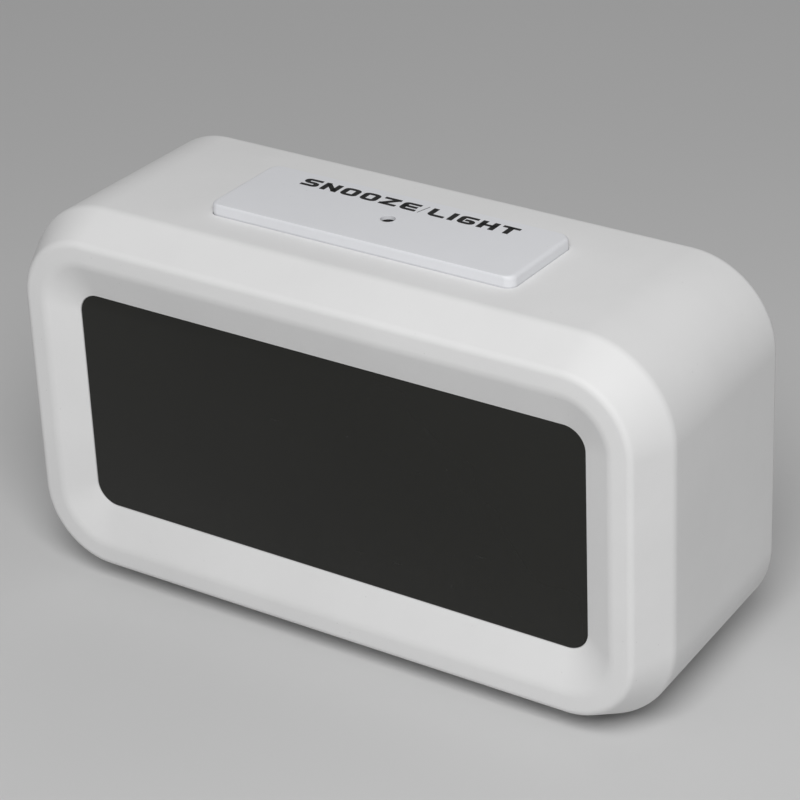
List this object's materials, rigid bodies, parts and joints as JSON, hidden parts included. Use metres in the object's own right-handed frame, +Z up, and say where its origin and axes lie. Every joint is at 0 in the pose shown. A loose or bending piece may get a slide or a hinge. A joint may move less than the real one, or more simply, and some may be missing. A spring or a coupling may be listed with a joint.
{
  "type": "digital alarm clock",
  "caption": "Battery-powered desk alarm clock: white tub case with a chamfered rim, wide smoked display window, snooze key on top, set keys, slide switch and battery lid at the back.",
  "frame": {"origin": "on the surface the feet stand on, below the middle of the clock", "axes": "+X to the right seen from the front, -Y towards the display, +Z up"},
  "size_m": [0.135, 0.047, 0.0777],
  "materials": {
    "case_white": "fine satin moulded ABS",
    "key_white": "smooth satin moulded ABS",
    "smoked_lens": "polished smoked acrylic",
    "lcd_glass": "polished liquid-crystal cell",
    "holder_grey": "moulded, satin",
    "clear_acrylic": "polished with a frosted back",
    "led_body": "moulded epoxy",
    "elastomer": "soft silicone",
    "board_green": "solder mask on glass-epoxy board",
    "epoxy_black": "cured drop",
    "black_plastic": "moulded, satin",
    "foot_rubber": "matte",
    "screw_steel": "zinc plated",
    "contact_nickel": "nickel plated spring steel",
    "cell_jacket": "printed shrink sleeve",
    "wire_red": "PVC insulation",
    "wire_black": "PVC insulation",
    "ribbon_grey": "flat cable",
    "sensor_ceramic": "coated ceramic disc"
  },
  "bodies": {
    "case": {"front_housing": "case_white", "rear_cover": "case_white", "display_lens": "smoked_lens", "lcd_panel": "lcd_glass", "lcd_frame": "holder_grey", "light_guide": "clear_acrylic", "backlight_led": "led_body", "zebra_strip_top": "elastomer", "zebra_strip_bottom": "elastomer", "main_board": "board_green", "snooze_board": "board_green", "rear_board": "board_green", "controller_blob": "epoxy_black", "snooze_switch_left": "black_plastic", "snooze_switch_right": "black_plastic", "mode_switch": "black_plastic", "set_switch": "black_plastic", "up_switch": "black_plastic", "down_switch": "black_plastic", "buzzer": "black_plastic", "foot_front_left": "foot_rubber", "foot_front_right": "foot_rubber", "foot_back_left": "foot_rubber", "foot_back_right": "foot_rubber", "main_board_screw_left": "screw_steel", "main_board_screw_right": "screw_steel", "snooze_board_screw_left": "screw_steel", "snooze_board_screw_right": "screw_steel", "rear_board_screw_left": "screw_steel", "rear_board_screw_right": "screw_steel", "rear_cover_screw_lower_left": "screw_steel", "rear_cover_screw_lower_right": "screw_steel", "rear_cover_screw_upper_left": "screw_steel", "rear_cover_screw_upper_right": "screw_steel", "sensor_switch": "screw_steel", "contact_positive": "contact_nickel", "contact_negative": "contact_nickel", "contact_link_left": "contact_nickel", "contact_link_right": "contact_nickel", "battery_cell_1": "cell_jacket", "battery_cell_2": "cell_jacket", "battery_cell_3": "cell_jacket", "battery_lead_positive": "wire_red", "battery_lead_negative": "wire_black", "board_ribbon_cable": "ribbon_grey", "snooze_ribbon_cable": "ribbon_grey", "light_sensor": "sensor_ceramic"},
    "snooze": {"snooze_key": "key_white", "snooze_plunger_left": "holder_grey", "snooze_plunger_right": "holder_grey"},
    "mode": {"mode_key": "key_white", "mode_plunger": "holder_grey"},
    "set": {"set_key": "key_white", "set_plunger": "holder_grey"},
    "up": {"up_key": "key_white", "up_plunger": "holder_grey"},
    "down": {"down_key": "key_white", "down_plunger": "holder_grey"},
    "slider": {"sensor_slider": "black_plastic"},
    "lid": {"battery_cover": "case_white"}
  },
  "joints": [
    {"name": "snooze_press", "type": "slide", "parent": "case", "child": "snooze", "axis": [0, 0, -1], "range_m": [0, 0.001], "stiffness_N_per_m": 600, "springref_m": -0.0006},
    {"name": "mode_press", "type": "slide", "parent": "case", "child": "mode", "axis": [0, -1, 0], "range_m": [0, 0.0008], "stiffness_N_per_m": 400, "springref_m": -0.0005},
    {"name": "set_press", "type": "slide", "parent": "case", "child": "set", "axis": [0, -1, 0], "range_m": [0, 0.0008], "stiffness_N_per_m": 400, "springref_m": -0.0005},
    {"name": "up_press", "type": "slide", "parent": "case", "child": "up", "axis": [0, -1, 0], "range_m": [0, 0.0008], "stiffness_N_per_m": 400, "springref_m": -0.0005},
    {"name": "down_press", "type": "slide", "parent": "case", "child": "down", "axis": [0, -1, 0], "range_m": [0, 0.0008], "stiffness_N_per_m": 400, "springref_m": -0.0005},
    {"name": "sensor_slide", "type": "slide", "parent": "case", "child": "slider", "axis": [1, 0, 0], "range_m": [0, 0.004]},
    {"name": "lid_hinge", "type": "hinge", "parent": "case", "child": "lid", "pos_m": [0, 0.0223, 0.0104], "axis": [-1, 0, 0], "range_deg": [0, 75]}
  ]
}
